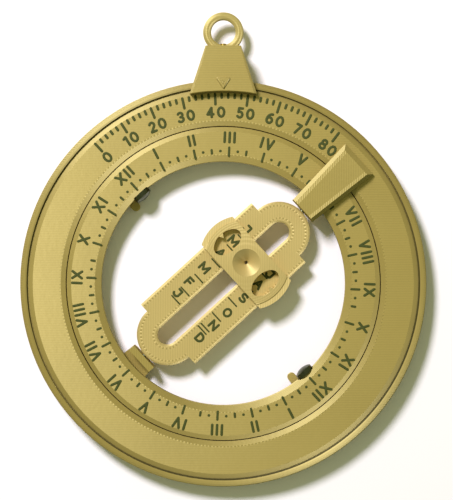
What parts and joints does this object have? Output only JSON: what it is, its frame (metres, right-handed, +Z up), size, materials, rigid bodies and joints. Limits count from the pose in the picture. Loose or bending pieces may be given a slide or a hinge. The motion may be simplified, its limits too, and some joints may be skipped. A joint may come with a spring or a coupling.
{
  "type": "ring dial",
  "caption": "Folding universal ring sundial: hour ring hinged in a meridian ring, turning bridge with pierced slider, sliding shackle and suspension ring.",
  "frame": {"origin": "on the ground, under the middle of the outline of the folded dial lying on its back", "axes": "+Z up through the face of the dial, +Y from the dial towards the suspension ring, +X to the right as the face is read"},
  "size_m": [0.11, 0.1286, 0.0105],
  "materials": {
    "printed_gold": "satin, with fine print lines",
    "dark_steel": "blackened",
    "brass_wire": "drawn"
  },
  "bodies": {
    "base": {"meridian_ring": "printed_gold", "noon_pivot_screw": "dark_steel", "midnight_pivot_screw": "dark_steel", "upper_bracket": "printed_gold", "lower_bracket": "printed_gold", "upper_bracket_dowels": "printed_gold", "lower_bracket_dowels": "printed_gold", "upper_pivot_pin": "dark_steel", "lower_pivot_pin": "dark_steel"},
    "hour_ring": {"hour_ring": "printed_gold"},
    "bridge": {"bridge": "printed_gold"},
    "slider": {"slider_saddle": "printed_gold", "slider_keeper": "printed_gold"},
    "shackle": {"shackle_front": "printed_gold", "shackle_back": "printed_gold", "shackle_screw_left": "dark_steel", "shackle_screw_right": "dark_steel", "swivel_pin": "brass_wire"},
    "hanger": {"suspension_ring": "printed_gold"}
  },
  "joints": [
    {"name": "hour_ring_hinge", "type": "hinge", "parent": "base", "child": "hour_ring", "pos_m": [0, -0.0093, 0.005], "axis": [-0.6756, 0.7373, 0], "range_deg": [0, 90]},
    {"name": "bridge_turn", "type": "hinge", "parent": "base", "child": "bridge", "pos_m": [0, -0.0093, 0.005], "axis": [0.7373, 0.6756, 0], "continuous": true},
    {"name": "slider_slide", "type": "slide", "parent": "bridge", "child": "slider", "axis": [0.7373, 0.6756, 0], "range_m": [-0.0271, 0.0103]},
    {"name": "shackle_slide", "type": "hinge", "parent": "base", "child": "shackle", "pos_m": [0, -0.0093, 0.005], "axis": [0, 0, 1], "continuous": true},
    {"name": "suspension_swivel", "type": "hinge", "parent": "shackle", "child": "hanger", "pos_m": [0, 0.0588, 0.005], "axis": [0, 1, 0], "continuous": true}
  ]
}
